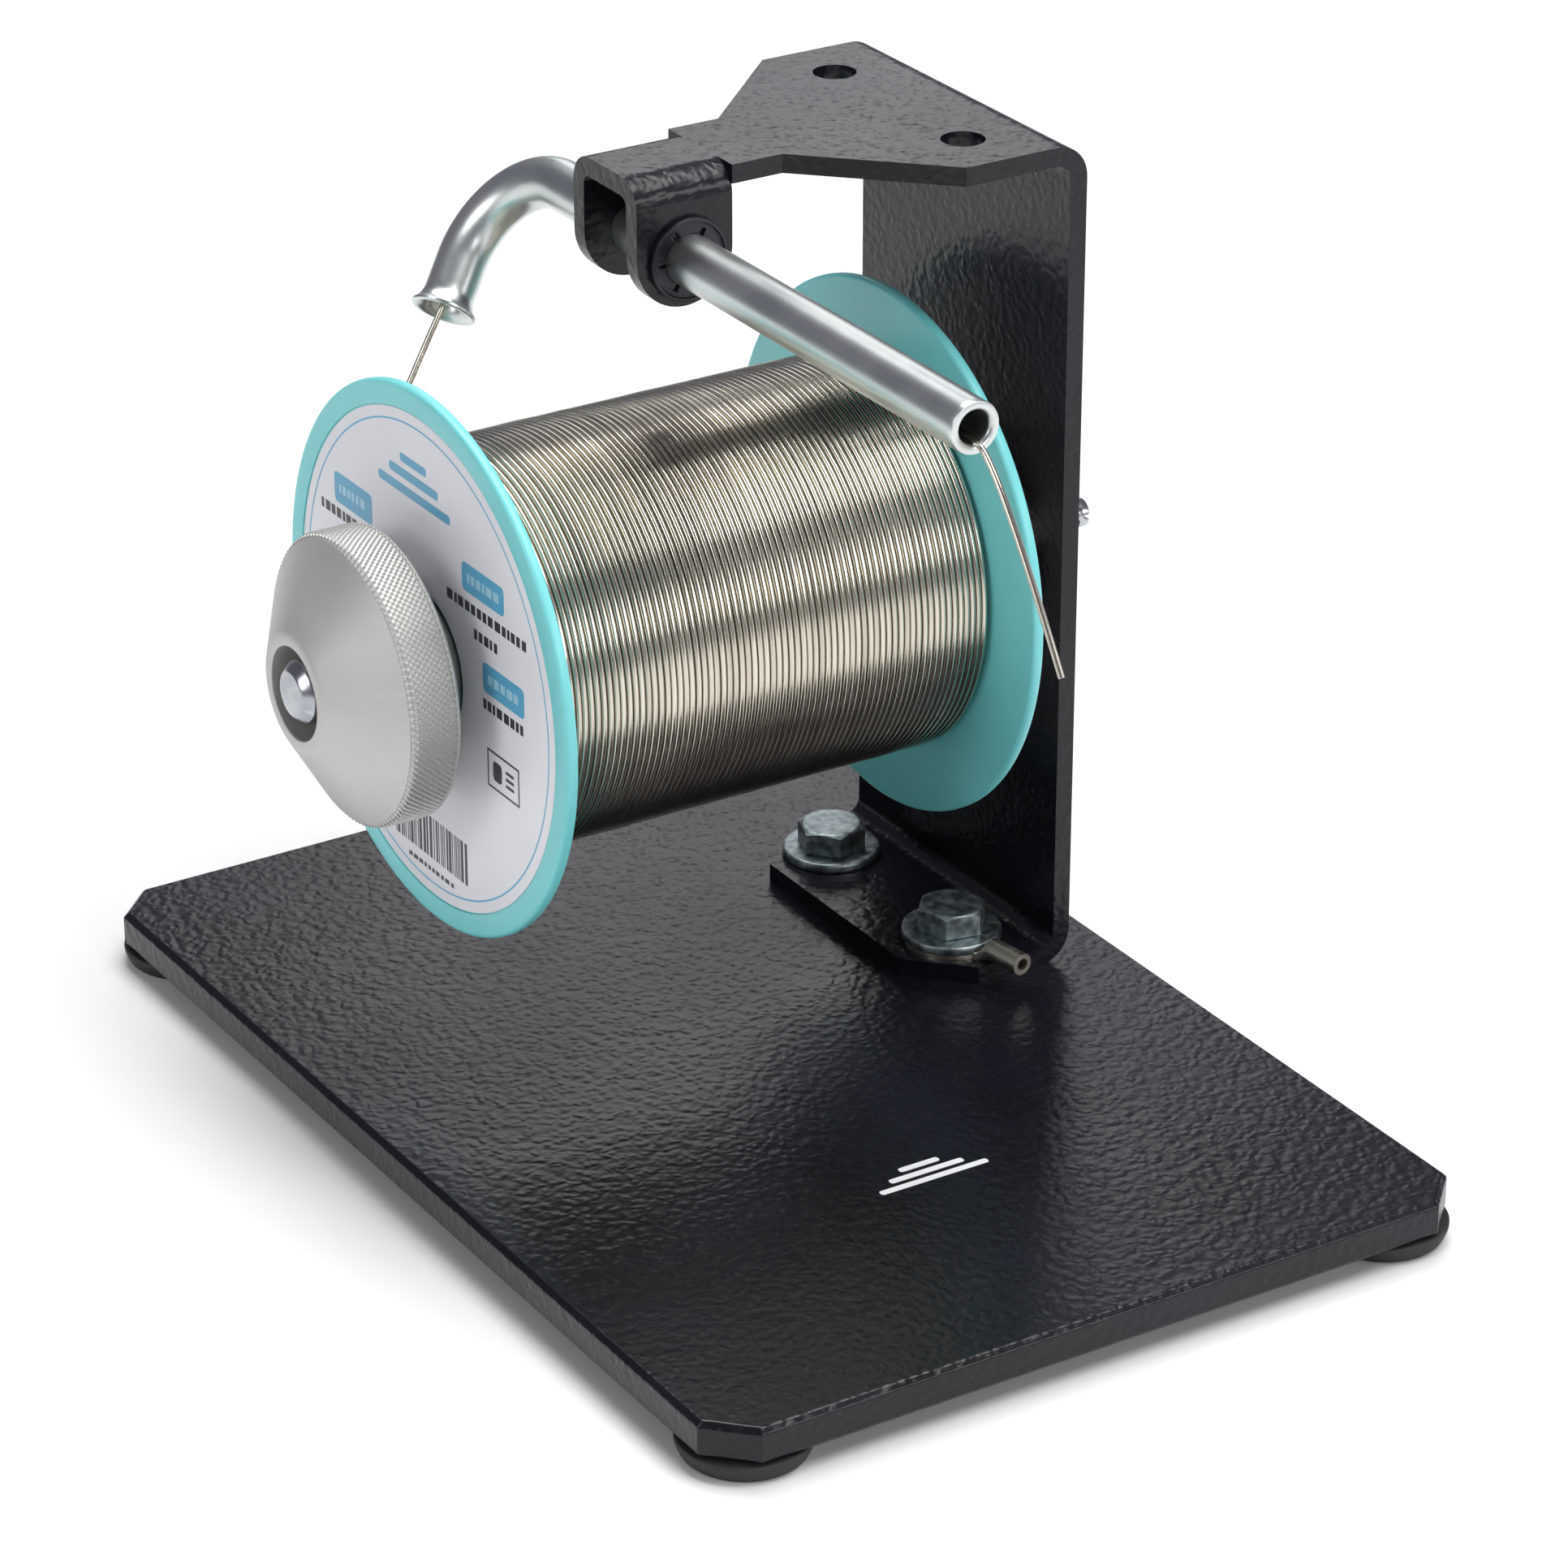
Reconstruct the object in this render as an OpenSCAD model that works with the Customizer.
// Bench stand that holds a spool of solder wire and feeds the wire out through a tube.
// Millimetres, +Z up. The origin is on the bench, under the middle of the base plate.
// The spool turns about an axis along X. The clamp knob is at -X, the bracket's wall at +X,
// and the wire comes out at the front, towards -Y.

/* [Base] */
// Width of the base plate, along X
base_w = 130; // [105:1:200]
// Depth of the base plate, along Y
base_d = 192; // [150:1:260]
// Thickness of the base plate
base_t = 6; // [4.5:0.5:10]
// Length cut off each corner of the base plate
base_clip = 6.5; // [2:0.5:15]
// Width of the chamfer along the base plate's edges
base_edge = 0.8; // [0.3:0.1:1.5]
// Diameter of a rubber foot
foot_d = 20; // [12:0.5:30]
// Height of a rubber foot
foot_h = 3; // [2:0.5:8]
// How far a foot reaches past the plate's edges
foot_bulge = 0.5; // [0:0.1:1]

/* [Bracket] */
// Thickness of the bracket's sheet steel
sheet_t = 3; // [2:0.1:4]
// Outside radius of the bends above and below the wall
bend_r = 5.5; // [5:0.5:10]
// Width of the bracket's wall, along Y
wall_w = 57; // [48:1:90]
// Height of the bracket, from the base plate to its top face
bracket_h = 137; // [130:1:170]
// Distance from the base plate's right edge to the wall's outer face
wall_inset = 9.3; // [8.5:0.1:15]
// Distance from the base plate's middle back to the spool's axis, along Y
axis_y = 24.7; // [10:0.1:40]
// Length of the foot flange, from the wall's outer face
foot_flange_l = 26; // [24:0.5:32]
// Length cut off the foot flange's corners
foot_flange_clip = 9; // [2:0.5:12]
// Length of the top flange's full-width part
top_full_l = 21.6; // [20:0.1:24]
// Distance from the wall's outer face to where the top flange has narrowed to the arm
top_taper_l = 41.4; // [36:0.1:46]
// Distance from the wall's outer face to the arm's end
arm_l = 66.5; // [62:0.5:72]
// Width of the arm, over the outer faces of the two ears
arm_w = 18.3; // [16:0.1:24]
// Outside radius of the ears' bends
ear_bend_r = 4.5; // [4.2:0.1:6]
// Length of an ear, along X
ear_l = 16.4; // [15:0.1:20]
// Height of an ear, from the bracket's top face
ear_h = 20.5; // [19.5:0.1:24]
// Diameter of the two mounting holes in the top flange
top_hole_d = 6.8; // [5.5:0.1:9]

/* [Bolts] */
// Thread diameter of the bracket's bolts
bolt_d = 6; // [5:1:8]
// Width of the bolt heads' flats past the thread, on each side
bolt_flat_w = 2; // [1.5:0.5:3]
// Height of the bolt heads
bolt_head_h = 4; // [3:0.1:5.5]
// Distance between the two bolts, along Y
bolt_gap = 35.6; // [30:0.1:40]
// Distance from the wall's outer face to the bolts
bolt_inset = 15.2; // [15:0.1:17]
// Width of the bolts' washers past the thread, on each side
washer_w = 5; // [3:0.5:6]
// Thickness of the bolts' washers
washer_t = 1.5; // [0.8:0.1:2]

/* [Earth lug] */
// Width of the lug's ring past the thread, on each side
lug_ring_w = 4.5; // [3:0.5:5]
// Thickness of the lug's ring
lug_t = 0.8; // [0.5:0.1:1.2]
// Outside diameter of the lug's barrel
lug_barrel_d = 3.6; // [3:0.1:6]
// Bore of the lug's barrel
lug_bore_d = 2; // [1.5:0.1:2.6]
// Length of the lug's barrel
lug_barrel_l = 7; // [5:0.5:10]
// Distance from the ring's edge to the barrel's open end
lug_neck_l = 9; // [8:0.5:16]
// Direction that the barrel points in, from +X
lug_angle = -81; // [-110:1:-60]

/* [Spool] */
// Height of the spool's axis above the base plate
axis_h = 65.1; // [62:0.1:75]
// Diameter of the spool's flanges
spool_d = 86; // [70:1:90]
// Width of the spool, over its flanges
spool_w = 82.9; // [60:0.1:84]
// Thickness of a flange
flange_t = 1.9; // [1.5:0.1:3]
// Outside diameter of the drum that the wire is wound on
drum_d = 40; // [36:1:50]
// Thickness of the drum's wall and of the bore tube's wall
drum_wall = 1.8; // [1.2:0.1:3]
// Diameter of the spool's bore
spool_bore_d = 22.2; // [18:0.1:26]
// Outside diameter of the winding
winding_d = 63.6; // [50:0.1:64]
// Width of the flange's rim round a label
label_rim = 4; // [3:0.5:12]
// Thickness of a label
label_t = 0.15; // [0.1:0.05:0.3]
// Width of the flange's face inside a label, round the bore
label_hole_rim = 0.5; // [0.3:0.1:8]

/* [Spindle] */
// Diameter of the axle
axle_d = 10; // [8:0.5:12]
// Diameter of the two centring cones at their wide ends
cone_d = 34; // [32:0.5:38]
// Length of a centring cone past the spool's face, into its bore
cone_in = 3; // [2:0.5:4]
// Thickness of the rear cone's plain disc
cone_disc_t = 1.4; // [1:0.1:3]
// Diameter of the knob's knurled rim
knob_d = 45.4; // [38:0.1:60]
// Width of the knob's knurled rim
knob_rim_w = 8; // [5:0.1:14]
// Length of the knob's conical nose
knob_nose_l = 8; // [5:0.1:14]
// Width of the ring-shaped gap between the axle and the recess in the nose's end
knob_recess_w = 2.25; // [1:0.05:3]
// Width of the nose's flat end round the recess
knob_tip_w = 1.75; // [1:0.05:4]
// Depth of the recess in the nose's end
knob_recess_l = 6; // [3:0.5:8]
// How far the axle's end stands out of the nose
axle_proud = 0.5; // [0:0.1:2]

/* [Bearing] */
// Wall of the bearing housing's body, round the bushes
housing_wall = 1.5; // [1:0.1:2]
// Thickness of the bearing housing's flange
housing_flange_t = 3; // [2:0.1:4]
// Length of the housing behind the wall
housing_out = 4; // [2:0.5:6]
// Wall thickness of a bearing bush
bush_wall = 1.5; // [1:0.1:2]
// Thickness of a bearing bush's collar
bush_collar_t = 1; // [0.8:0.1:2]
// Distance from the housing's body to the rivets' middles
rivet_out = 4.5; // [4:0.5:8]
// Diameter of a rivet's shank
rivet_d = 4; // [3:0.5:4]

/* [Brake] */
// Thread diameter of the brake screw
brake_screw_d = 5; // [4:0.5:5]
// Distance between the brake's pad or nut and what turns beside it on the spindle
brake_gap = 0.98; // [0.5:0.01:2]
// Direction from the spool's axis to the brake screw, up from the front
brake_angle = 15.64; // [0:0.01:30]
// Length of the brake screw behind the wall
brake_tail = 11.8; // [8:0.1:14]
// Diameter of the brake pad
brake_pad_d = 7; // [6:0.1:7]

/* [Guide tube] */
// Outside diameter of the guide tube
tube_d = 8; // [6:0.1:9]
// Wall thickness of the guide tube
tube_wall = 1.5; // [0.8:0.1:1.7]
// Distance from the bracket's top face down to the tube's axis
tube_drop = 13.1; // [12.5:0.1:14]
// Distance from the spool's axis forward to the tube's outlet, along Y
tube_front = 85.7; // [70:0.1:110]
// Distance from the spool's axis back to where the tube starts to bend, along Y
tube_back = 26.8; // [26:0.1:35]
// Radius of the bend's centre line
tube_bend_r = 13.5; // [12:0.5:30]
// Angle that the tube is bent through
tube_bend_angle = 110; // [60:5:120]
// Length of the straight leg after the bend
tube_leg = 8.5; // [6:0.5:20]
// How far the bent end leans towards the knob at rest
tube_lean = 39; // [0:1:45]
// How far the flared inlet stands out round the tube
flare_out = 1.2; // [0.5:0.1:3]
// Width of the tube's lock washers, round the tube
lock_washer_w = 2.5; // [1.5:0.1:3.5]

/* [Wire] */
// Diameter of the solder wire
wire_d = 1; // [0.5:0.1:1.5]

/* [Clearances] */
// Radial clearance of everything that turns or slides in a bore
running_gap = 0.05; // [0.03:0.01:0.1]
// Clearance between faces that turn past each other
face_gap = 0.05; // [0.03:0.01:0.2]
// Radial clearance between the cones and the spool's bore
cone_gap = 0.1; // [0.05:0.05:0.2]
// Radial clearance between a label and its recess in the spool's flange
label_gap = 0.2; // [0.1:0.05:0.4]
// Radial clearance of the foot flange's holes round the bolts
hole_gap = 0.2; // [0.1:0.05:0.6]
// Radial clearance of the washers and the lug round the bolts
bolt_gap_r = 0.2; // [0.1:0.05:0.4]
// Distance from each bearing bush's inner end to the middle of the housing
bush_gap = 0.25; // [0.1:0.05:0.5]

/* [Hidden] */
$fn = 96;

base_top = foot_h + base_t;
top_z = base_top + bracket_h;
wall_x = base_w / 2 - wall_inset;
wall_in_x = wall_x - sheet_t;
bolt_x = wall_x - bolt_inset;
flange_z = base_top + sheet_t;
axis_z = base_top + axis_h;
arm_x = wall_x - arm_l;

// Places along the spindle, from the wall towards the knob.
housing_x = wall_in_x - housing_flange_t;
bush_x = housing_x - bush_collar_t;
thrust_t = 1.5;
cone_back_x = bush_x - thrust_t;
cone_wide_x = cone_back_x - cone_disc_t;
seat_r = spool_bore_d / 2 - cone_gap;
cone_out = cone_d / 2 - seat_r;
cone_narrow_r = seat_r - cone_in;
spool_right_x = cone_wide_x - cone_out;
spool_left_x = spool_right_x - spool_w;
knob_back_x = spool_left_x - cone_out;
knob_recess_r = axle_d / 2 + knob_recess_w;
knob_front_x = knob_back_x - knob_rim_w;
knob_tip_x = knob_front_x - knob_nose_l;
axle_front_x = knob_tip_x - axle_proud;
housing_back_x = wall_x + housing_out;
bush_back_x = housing_back_x + bush_collar_t;
rear_washer_t = 0.8;
clip_t = 0.9;
clip_x = bush_back_x + face_gap + rear_washer_t;
axle_back_x = clip_x + clip_t + 2;
axle_r = axle_d / 2;
clip_groove = 0.8;
collar_w = 2;
collar_r = axle_r + bush_wall + collar_w;
housing_r = axle_r + bush_wall + housing_wall;
label_recess = 0.3;
label_d = spool_d - 2 * label_rim;

// The tube's hole lies a little off the ears' middle, towards the wall.
tube_offset = 0.4;
tube_x = arm_x + ear_l / 2 + tube_offset;
tube_z = top_z - tube_drop;
bend_y = axis_y + tube_back;
outlet_y = axis_y - tube_front;
tube_r = tube_d / 2;
tube_bore_r = tube_r - tube_wall;

nut_h = 4;
nut_af = brake_screw_d + 3;
brake_r = max(collar_r + brake_pad_d / 2, housing_r + nut_af / 2) + brake_gap;
pad_t = 3;
screw_tip_l = 1.5;
screw_slot_w = 0.8;
screw_slot_l = 1.3;

// The wire's centre line, from the winding through the guide tube to its cut end.
wire_route = [
    [-38, 57.2, 69], [-37.6, 57.9, 74], [-36.4, 58.5, 80], [-34.2, 59.1, 86], [-31.2, 59.7, 92],
    [-27.8, 60.3, 98], [-24.4, 60.9, 103.5], [-21.6, 61.4, 108], [-19.6, 61.7, 111.2],
    [-17.6, 62.2, 114.2], [-14.8, 63.8, 117.6], [-12.6, 64.4, 120.2], [-10.7, 64.5, 122.6],
    [-8.2, 63.8, 125.6], [-5.8, 61.8, 128.6], [-3.8, 58.6, 130.9], [-2.6, 54.6, 132.2],
    [-2.2, 50, 132.4], [-2.2, 40, 132.2], [-2.2, 20, 131.8], [-2.2, 0, 131.5],
    [-2.2, -20, 131.3], [-2.2, -40, 131.2], [-2.2, -54, 131.2], [-2.2, -58, 131.2],
    [-2.2, -61, 130.9], [-2.2, -63.5, 129.8], [-2.2, -66.8, 126.6], [-2.2, -70, 122.6],
    [-2.2, -73, 118.5], [-2.2, -76, 114.2], [-2.2, -79.2, 109.4], [-2.2, -82.8, 103.8]];

// A cylinder along X between two places.
module rod(x1, x2, r, fn = 96) {
    translate([x1, 0, 0])
        rotate([0, 90, 0])
            cylinder(h = x2 - x1, r = r, $fn = fn);
}

// A cone along X between two places, with a radius at each.
module taper(x1, r1, x2, r2) {
    translate([x1, 0, 0])
        rotate([0, 90, 0])
            cylinder(h = x2 - x1, r1 = r1, r2 = r2);
}

// A ring along X between two places.
module ring(x1, x2, r_out, r_in) {
    difference() {
        rod(x1, x2, r_out);
        rod(x1 - 1, x2 + 1, r_in);
    }
}

// Puts its children on the spool's axis.
module on_axis() {
    translate([0, axis_y, axis_z])
        children();
}

// Puts its children on the brake screw's axis.
module on_brake() {
    translate([0, axis_y - brake_r * cos(brake_angle), axis_z + brake_r * sin(brake_angle)])
        children();
}

// Repeats its children at the two bolts.
module at_bolts() {
    for (side = [-1, 1])
        translate([bolt_x, axis_y + side * bolt_gap / 2, 0])
            children();
}

// A hexagonal prism with its top edges turned off, standing on z = 0.
module hexagon(af, h) {
    corner_r = af / sqrt(3);
    intersection() {
        cylinder(h = h, r = corner_r, $fn = 6);
        cylinder(h = h, r1 = af / 2 + 2 * h, r2 = af / 2 - 0.1);
    }
}

module base_outline() {
    x = base_w / 2;
    y = base_d / 2;
    c = base_clip;
    polygon([[-x + c, -y], [x - c, -y], [x, -y + c], [x, y - c],
             [x - c, y], [-x + c, y], [-x, y - c], [-x, -y + c]]);
}

module base_plate() {
    // The four sides and the four corners, each with the way it faces and its distance.
    corner = (base_w / 2 + base_d / 2 - base_clip) / sqrt(2);
    sides = [[0, base_w / 2], [90, base_d / 2], [180, base_w / 2], [270, base_d / 2],
             [45, corner], [135, corner], [225, corner], [315, corner]];
    color([0.06, 0.06, 0.07])
        difference() {
            translate([0, 0, foot_h])
                linear_extrude(base_t)
                    base_outline();
            for (side = sides, z = [foot_h, base_top])
                rotate([0, 0, side[0]])
                    translate([side[1], 0, z])
                        rotate([0, 45, 0])
                            cube([base_edge * sqrt(2), 2 * base_d, base_edge * sqrt(2)],
                                 center = true);
            at_bolts()
                translate([0, 0, foot_h - 1])
                    cylinder(h = base_t + 2, d = bolt_d);
        }
}

module rubber_feet() {
    inset = foot_d / 2 - foot_bulge;
    color([0.05, 0.05, 0.05])
        for (sx = [-1, 1], sy = [-1, 1])
            translate([sx * (base_w / 2 - inset), sy * (base_d / 2 - inset), 0]) {
                cylinder(h = 0.6, r1 = foot_d / 2 - 0.6, r2 = foot_d / 2);
                translate([0, 0, 0.6])
                    cylinder(h = foot_h - 0.6, d = foot_d);
            }
}

// A quarter of a round bend in sheet metal. It runs along Y from y = 0, about its own axis.
module bend(length, r_out) {
    intersection() {
        rotate([-90, 0, 0])
            difference() {
                cylinder(h = length, r = r_out);
                translate([0, 0, -1])
                    cylinder(h = length + 2, r = r_out - sheet_t);
            }
        cube([r_out + 1, length, r_out + 1]);
    }
}

// The bent strip that makes the foot flange, the wall and the start of the top flange.
module wall() {
    translate([wall_in_x, 0, base_top + bend_r])
        cube([sheet_t, wall_w, bracket_h - 2 * bend_r]);
    translate([wall_x - bend_r, 0, top_z - bend_r])
        bend(wall_w, bend_r);
    translate([wall_x - bend_r, 0, base_top + bend_r])
        mirror([0, 0, 1])
            bend(wall_w, bend_r);
}

module foot_flange() {
    x1 = wall_x - foot_flange_l;
    x2 = wall_x - bend_r;
    c = foot_flange_clip;
    translate([0, 0, base_top])
        linear_extrude(sheet_t)
            polygon([[x2, 0], [x2, wall_w], [x1 + c, wall_w], [x1, wall_w - c],
                     [x1, c], [x1 + c, 0]]);
}

module top_flange() {
    mid = wall_w / 2;
    a = arm_w / 2;
    s = a - ear_bend_r;
    x2 = wall_x - bend_r;
    x3 = wall_x - top_full_l;
    x4 = wall_x - top_taper_l;
    x5 = arm_x + ear_l;
    translate([0, 0, top_z - sheet_t])
        linear_extrude(sheet_t)
            polygon([[x2, 0], [x2, wall_w], [x3, wall_w], [x4, mid + a], [x5, mid + a],
                     [x5, mid + s], [arm_x, mid + s], [arm_x, mid - s], [x5, mid - s],
                     [x5, mid - a], [x4, mid - a], [x3, 0]]);
}

// One of the two ears, bent down from the arm, on the arm's +Y side.
module ear() {
    a = arm_w / 2;
    round_r = ear_l / 2;
    round_z = top_z - ear_h + round_r;
    translate([arm_x + ear_l, a - ear_bend_r, top_z - ear_bend_r])
        rotate([0, 0, 90])
            bend(ear_l, ear_bend_r);
    translate([arm_x, a - sheet_t, round_z])
        cube([ear_l, sheet_t, top_z - ear_bend_r - round_z]);
    translate([arm_x + round_r, a - sheet_t, round_z])
        rotate([-90, 0, 0])
            cylinder(h = sheet_t, r = round_r);
}

module bracket() {
    color([0.06, 0.06, 0.07])
        difference() {
            union() {
                translate([0, axis_y - wall_w / 2, 0]) {
                    wall();
                    foot_flange();
                    top_flange();
                }
                translate([0, axis_y, 0]) {
                    ear();
                    mirror([0, 1, 0])
                        ear();
                }
            }
            at_bolts() {
                translate([0, 0, base_top - 1])
                    cylinder(h = sheet_t + 2, r = bolt_d / 2 + hole_gap);
                translate([0, 0, top_z - sheet_t - 1])
                    cylinder(h = sheet_t + 2, d = top_hole_d);
            }
            on_axis()
                rod(wall_in_x - 1, wall_x + 1, housing_r);
            on_axis()
                at_rivets()
                    rod(wall_in_x - 1, wall_x + 1, rivet_d / 2);
            on_brake()
                rod(wall_in_x - 1, wall_x + 1, brake_screw_d / 2 + running_gap);
            translate([tube_x, axis_y - arm_w, tube_z])
                rotate([-90, 0, 0])
                    cylinder(h = 2 * arm_w, r = tube_r + running_gap);
        }
}

// Height of what lies between the foot flange and a bolt's head: side is -1 at the front.
function under_head(side) = washer_t + (side < 0 ? lug_t : 0);

module bracket_bolts() {
    tip_z = foot_h + 1;
    color([0.55, 0.58, 0.58])
        for (side = [-1, 1])
            translate([bolt_x, axis_y + side * bolt_gap / 2, flange_z + under_head(side)]) {
                rotate([0, 0, side * 12])
                    hexagon(bolt_d + 2 * bolt_flat_w, bolt_head_h);
                translate([0, 0, tip_z - flange_z - under_head(side)])
                    cylinder(h = flange_z + under_head(side) - tip_z, d = bolt_d);
            }
}

module bolt_washers() {
    color([0.6, 0.62, 0.62])
        for (side = [-1, 1])
            translate([bolt_x, axis_y + side * bolt_gap / 2,
                       flange_z + under_head(side) - washer_t])
                difference() {
                    cylinder(h = washer_t, r = bolt_d / 2 + washer_w);
                    translate([0, 0, -1])
                        cylinder(h = washer_t + 2, r = bolt_d / 2 + bolt_gap_r);
                }
}

module earth_lug() {
    barrel_r = lug_barrel_d / 2;
    ring_r = bolt_d / 2 + lug_ring_w;
    start = ring_r + lug_neck_l - lug_barrel_l;
    // The neck starts to rise just outside the washer that lies on the ring.
    rise = bolt_d / 2 + washer_w + 0.1;
    neck_w = 4.4;
    color([0.72, 0.70, 0.66])
        translate([bolt_x, axis_y - bolt_gap / 2, flange_z])
            rotate([0, 0, lug_angle])
                difference() {
                    union() {
                        cylinder(h = lug_t, r = ring_r);
                        translate([ring_r - neck_w / 2, -neck_w / 2, 0])
                            cube([rise + 0.2 - ring_r + neck_w / 2, neck_w, lug_t]);
                        hull() {
                            translate([rise, -neck_w / 2, 0])
                                cube([0.2, neck_w, lug_t]);
                            translate([start - 0.1, 0, barrel_r])
                                rotate([0, 90, 0])
                                    cylinder(h = 0.3, r = barrel_r, $fn = 32);
                        }
                        translate([start, 0, barrel_r])
                            rotate([0, 90, 0])
                                cylinder(h = lug_barrel_l, r = barrel_r);
                    }
                    translate([0, 0, -1])
                        cylinder(h = 2 * lug_barrel_d, r = bolt_d / 2 + bolt_gap_r);
                    translate([start, 0, barrel_r])
                        rotate([0, 90, 0])
                            cylinder(h = lug_barrel_l + 1, d = lug_bore_d);
                }
}

// Repeats its children at the bearing housing's two rivets.
module at_rivets() {
    for (side = [-1, 1])
        translate([0, 0, side * (housing_r + rivet_out)])
            children();
}

module bearing_housing() {
    lobe_r = 4;
    rim_w = 1;
    color([0.5, 0.51, 0.52])
        on_axis()
            difference() {
                union() {
                    rod(wall_in_x, housing_back_x, housing_r);
                    hull() {
                        rod(housing_x, wall_in_x, housing_r + rim_w, 48);
                        at_rivets()
                            rod(housing_x, wall_in_x, lobe_r, 32);
                    }
                }
                rod(housing_x - 1, housing_back_x + 1, axle_r + bush_wall);
                at_rivets()
                    rod(housing_x - 1, wall_in_x + 1, rivet_d / 2);
            }
}

module housing_rivets() {
    head_r = rivet_d * 0.8;
    head_h = 1.4;
    color([0.6, 0.61, 0.62])
        on_axis()
            at_rivets() {
                rod(housing_x, wall_x, rivet_d / 2);
                taper(housing_x - head_h, head_r - 0.8, housing_x, head_r);
                taper(wall_x, head_r, wall_x + head_h, head_r - 0.8);
            }
}

// A bearing bush with a collar, standing on x = 0 with its body towards +X.
module bush(body_l) {
    ring(-bush_collar_t, 0, collar_r, axle_r + running_gap);
    ring(0, body_l, axle_r + bush_wall, axle_r + running_gap);
}

module front_bush() {
    color([0.71, 0.53, 0.30])
        on_axis()
            translate([housing_x, 0, 0])
                bush((housing_back_x - housing_x) / 2 - bush_gap);
}

module rear_bush() {
    color([0.71, 0.53, 0.30])
        on_axis()
            translate([housing_back_x, 0, 0])
                mirror([1, 0, 0])
                    bush((housing_back_x - housing_x) / 2 - bush_gap);
}

module brake_lock_nut() {
    color([0.6, 0.61, 0.62])
        on_brake()
            translate([wall_x, 0, 0])
                rotate([0, 90, 0])
                    difference() {
                        // A flat faces the housing.
                        rotate([0, 0, 120 - brake_angle])
                            hexagon(nut_af, nut_h);
                        translate([0, 0, -1])
                            cylinder(h = nut_h + 2, r = brake_screw_d / 2 + running_gap);
                    }
}

module axle() {
    chamfer = 1.5;
    color([0.66, 0.68, 0.69])
        on_axis()
            difference() {
                union() {
                    taper(axle_front_x, axle_r - chamfer, axle_front_x + chamfer, axle_r);
                    rod(axle_front_x + chamfer, axle_back_x - 0.5, axle_r);
                    taper(axle_back_x - 0.5, axle_r, axle_back_x, axle_r - 0.5);
                }
                ring(clip_x, clip_x + clip_t, axle_r + 1, axle_r - clip_groove);
            }
}

module rear_cone() {
    color([0.74, 0.74, 0.74])
        on_axis()
            difference() {
                union() {
                    taper(spool_right_x - cone_in, cone_narrow_r, cone_wide_x, cone_d / 2);
                    rod(cone_wide_x, cone_back_x, cone_d / 2);
                }
                rod(spool_right_x - cone_in - 1, cone_back_x + 1, axle_r);
            }
}

module thrust_washer() {
    color([0.9, 0.9, 0.86])
        on_axis()
            ring(cone_back_x, bush_x - face_gap, collar_r, axle_r);
}

module rear_washer() {
    color([0.6, 0.61, 0.62])
        on_axis()
            ring(bush_back_x + face_gap, clip_x, collar_r, axle_r);
}

module axle_clip() {
    color([0.25, 0.25, 0.27])
        on_axis()
            difference() {
                ring(clip_x, clip_x + clip_t, axle_r + 2.5, axle_r - clip_groove);
                translate([clip_x - 1, -2.5, -axle_d])
                    cube([clip_t + 2, 5, axle_d]);
            }
}

// One flange of the spool with its label recess, its outer face on x = 0, facing -X.
module flange() {
    edge = 0.6;
    difference() {
        union() {
            taper(0, spool_d / 2 - edge, edge, spool_d / 2);
            rod(edge, flange_t - edge, spool_d / 2);
            taper(flange_t - edge, spool_d / 2, flange_t, spool_d / 2 - edge);
        }
        rod(-1, label_recess, label_d / 2 + label_gap);
        rod(-1, flange_t + 1, spool_bore_d / 2);
    }
}

module spool() {
    bore_tube_r = spool_bore_d / 2 + drum_wall;
    rib_t = 1.5;
    // How far a rib reaches into the flanges and into the drum's two walls.
    root = 0.3;
    color([0.45, 0.78, 0.76])
        on_axis() {
            translate([spool_left_x, 0, 0])
                flange();
            translate([spool_right_x, 0, 0])
                mirror([1, 0, 0])
                    flange();
            ring(spool_left_x + flange_t, spool_right_x - flange_t, drum_d / 2,
                 drum_d / 2 - drum_wall);
            ring(spool_left_x + flange_t, spool_right_x - flange_t, bore_tube_r,
                 spool_bore_d / 2);
            for (a = [0:60:300])
                rotate([a, 0, 0])
                    translate([spool_left_x + flange_t - root, bore_tube_r - root, -rib_t / 2])
                        cube([spool_w - 2 * (flange_t - root),
                              drum_d / 2 - drum_wall - bore_tube_r + 2 * root, rib_t]);
        }
}

module wire_winding() {
    side_gap = 0.2;
    x1 = spool_left_x + flange_t + side_gap;
    x2 = spool_right_x - flange_t - side_gap;
    // The outer layer's turns round off at the flanges.
    edge = wire_d;
    color([0.76, 0.74, 0.69])
        on_axis()
            difference() {
                union() {
                    taper(x1, winding_d / 2 - edge, x1 + edge, winding_d / 2);
                    rod(x1 + edge, x2 - edge, winding_d / 2);
                    taper(x2 - edge, winding_d / 2, x2, winding_d / 2 - edge);
                }
                rod(x1 - 1, x2 + 1, drum_d / 2);
            }
}

// A label lies in the recess of a flange: x is the recess's floor, out is the way it faces.
module label(x, out) {
    color([0.86, 0.88, 0.92])
        on_axis()
            ring(min(x, x + out * label_t), max(x, x + out * label_t), label_d / 2,
                 spool_bore_d / 2 + label_hole_rim);
}

module front_label() {
    label(spool_left_x + label_recess, -1);
}

module rear_label() {
    label(spool_right_x - label_recess, 1);
}

module front_cone() {
    x2 = spool_left_x + cone_in;
    color([0.74, 0.74, 0.74])
        on_axis()
            difference() {
                taper(knob_back_x + face_gap, cone_d / 2, x2, cone_narrow_r);
                rod(knob_back_x - 1, x2 + 1, axle_r + running_gap);
            }
}

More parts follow.
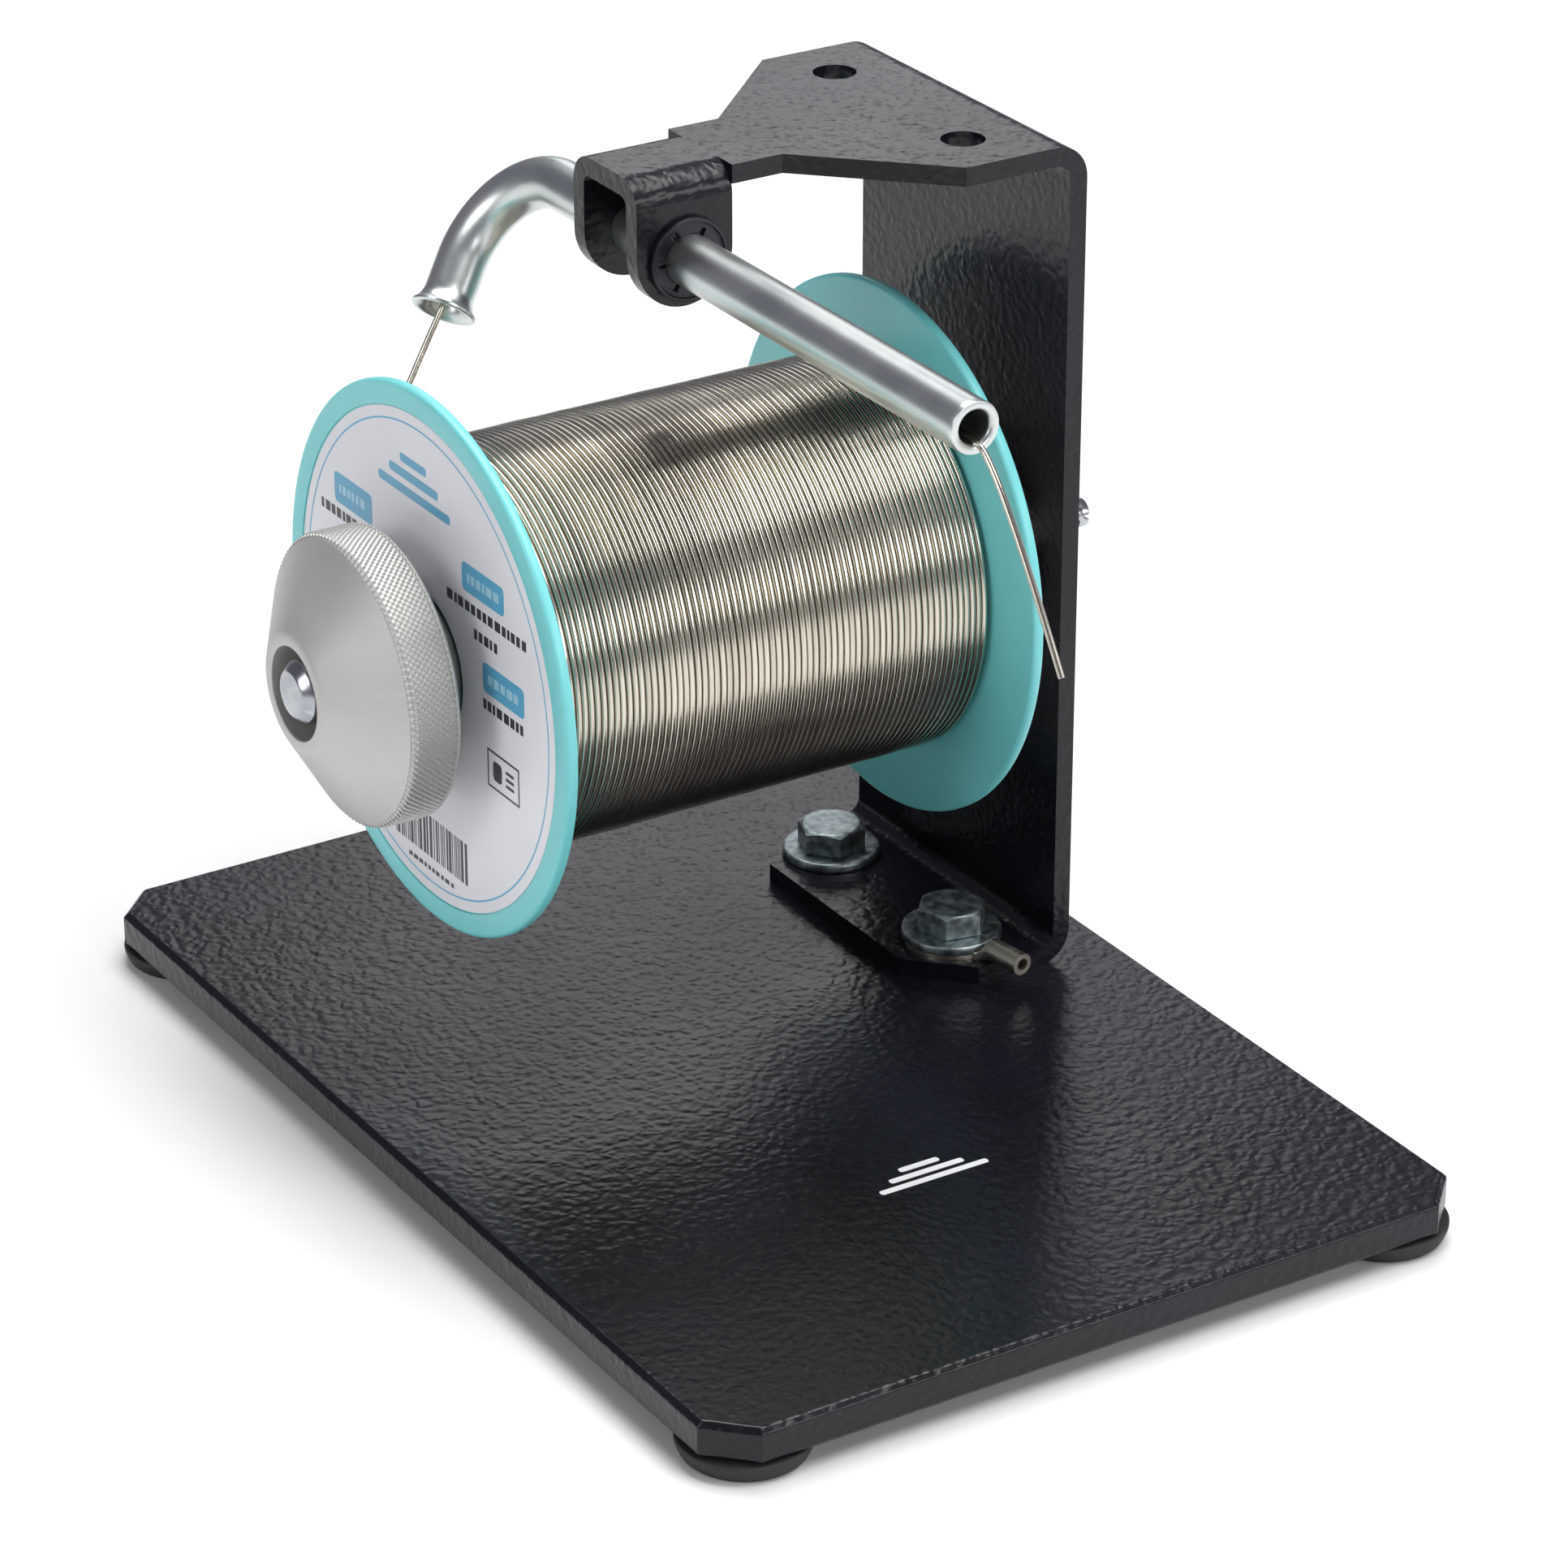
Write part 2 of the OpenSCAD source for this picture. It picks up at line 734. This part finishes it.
module clamp_knob() {
    edge = 0.5;
    r = knob_d / 2;
    color([0.74, 0.74, 0.73])
        on_axis()
            difference() {
                union() {
                    taper(knob_tip_x, knob_recess_r + knob_tip_w, knob_front_x, r - edge);
                    taper(knob_front_x, r - edge, knob_front_x + edge, r);
                    rod(knob_front_x + edge, knob_back_x - edge, r);
                    taper(knob_back_x - edge, r, knob_back_x, r - edge);
                }
                rod(knob_tip_x - 1, knob_tip_x + knob_recess_l, knob_recess_r);
                rod(knob_tip_x - 1, knob_back_x + 1, axle_r + running_gap);
            }
}

module brake_pad() {
    x1 = cone_back_x + face_gap;
    color([0.9, 0.9, 0.86])
        on_brake()
            difference() {
                rod(x1, x1 + pad_t, brake_pad_d / 2);
                rod(x1 + pad_t - screw_tip_l - face_gap, x1 + pad_t + 1,
                    brake_screw_d / 4 + running_gap);
            }
}

module brake_screw() {
    x1 = cone_back_x + face_gap + pad_t;
    x2 = wall_x + brake_tail;
    edge = 0.4;
    color([0.62, 0.60, 0.55])
        on_brake()
            difference() {
                union() {
                    rod(x1 - screw_tip_l, x1 + face_gap, brake_screw_d / 4);
                    rod(x1 + face_gap, x2 - edge, brake_screw_d / 2);
                    taper(x2 - edge, brake_screw_d / 2, x2, brake_screw_d / 2 - edge);
                }
                translate([x2 - screw_slot_l, -brake_screw_d, -screw_slot_w / 2])
                    cube([screw_slot_l + 1, 2 * brake_screw_d, screw_slot_w]);
            }
}

// The tube's straight part, standing on z = 0, with a small chamfer inside the outlet.
module tube_straight() {
    length = bend_y - outlet_y;
    mouth = 0.4;
    rotate_extrude()
        polygon([[tube_bore_r, 0], [tube_r, 0], [tube_r, length], [tube_bore_r + mouth, length],
                 [tube_bore_r, length - mouth]]);
}

// The tube's short leg, standing on z = 0, with the flared inlet at its top. It is a hair wider
// than the bend and laps the bend's end by a hair, so that the two make one solid.
module tube_inlet() {
    lap = 0.02;
    r_in = tube_bore_r + lap;
    r_out = tube_r + lap;
    flare_l = 3;
    lip_l = 0.9;
    mouth = 1.2;
    rotate_extrude()
        polygon([[r_in, -lap], [r_out, -lap], [r_out, tube_leg - flare_l],
                 [tube_r + flare_out, tube_leg - lip_l], [tube_r + flare_out, tube_leg],
                 [r_in + mouth, tube_leg], [r_in, tube_leg - mouth]]);
}

module guide_tube() {
    color([0.72, 0.76, 0.76])
        translate([tube_x, bend_y, tube_z])
            rotate([0, tube_lean - 90, 0]) {
                rotate([90, 0, 0])
                    tube_straight();
                translate([-tube_bend_r, 0, 0]) {
                    rotate_extrude(angle = tube_bend_angle)
                        translate([tube_bend_r, 0])
                            difference() {
                                circle(r = tube_r);
                                circle(r = tube_bore_r);
                            }
                    rotate([0, 0, tube_bend_angle])
                        translate([tube_bend_r, 0, 0])
                            rotate([-90, 0, 0])
                                tube_inlet();
                }
            }
}

module tube_lock_washers() {
    t = 0.5;
    rim_h = 1;
    rim_w = 0.6;
    teeth = 6;
    gap_w = 1;
    gap_l = 1.1;
    outer_r = tube_r + lock_washer_w;
    color([0.08, 0.08, 0.09])
        translate([tube_x, axis_y, tube_z])
            for (side = [-1, 1])
                rotate([-90 * side, 0, 0])
                    translate([0, 0, arm_w / 2 + face_gap])
                        difference() {
                            union() {
                                cylinder(h = t, r = outer_r);
                                difference() {
                                    cylinder(h = rim_h, r = outer_r);
                                    translate([0, 0, -1])
                                        cylinder(h = rim_h + 2, r = outer_r - rim_w);
                                }
                            }
                            translate([0, 0, -1])
                                cylinder(h = rim_h + 2, r = tube_r);
                            for (a = [0:360 / teeth:359])
                                rotate([0, 0, a])
                                    translate([tube_r - gap_l, -gap_w / 2, -1])
                                        cube([2 * gap_l, gap_w, t + 2]);
                        }
}

function unit(v) = v / norm(v);

// The direction of a route at its point i.
function along(route, i) =
    let (last = len(route) - 1)
    unit(route[min(i + 1, last)] - route[max(i - 1, 0)]);

// A round cord of radius r swept along a route that never runs along X.
module cord(route, r, sides) {
    last = len(route) - 1;
    points = [
        for (i = [0:last])
            let (t = along(route, i), u = unit(cross(t, [1, 0, 0])), v = cross(t, u))
                for (j = [0:sides - 1])
                    let (a = 360 * j / sides)
                        route[i] + r * (cos(a) * u + sin(a) * v)];
    walls = [
        for (i = [0:last - 1], j = [0:sides - 1])
            let (k = (j + 1) % sides)
                [i * sides + j, (i + 1) * sides + j, (i + 1) * sides + k, i * sides + k]];
    start = [for (j = [0:sides - 1]) j];
    end = [for (j = [0:sides - 1]) last * sides + sides - 1 - j];
    polyhedron(points = points, faces = concat([start], walls, [end]));
}

module feed_wire() {
    color([0.76, 0.74, 0.69])
        cord(wire_route, wire_d / 2, 8);
}

base_plate();
rubber_feet();
bracket();
bracket_bolts();
bolt_washers();
earth_lug();
bearing_housing();
housing_rivets();
front_bush();
rear_bush();
brake_lock_nut();
axle();
rear_cone();
thrust_washer();
rear_washer();
axle_clip();
spool();
wire_winding();
front_label();
rear_label();
front_cone();
clamp_knob();
brake_pad();
brake_screw();
guide_tube();
tube_lock_washers();
feed_wire();
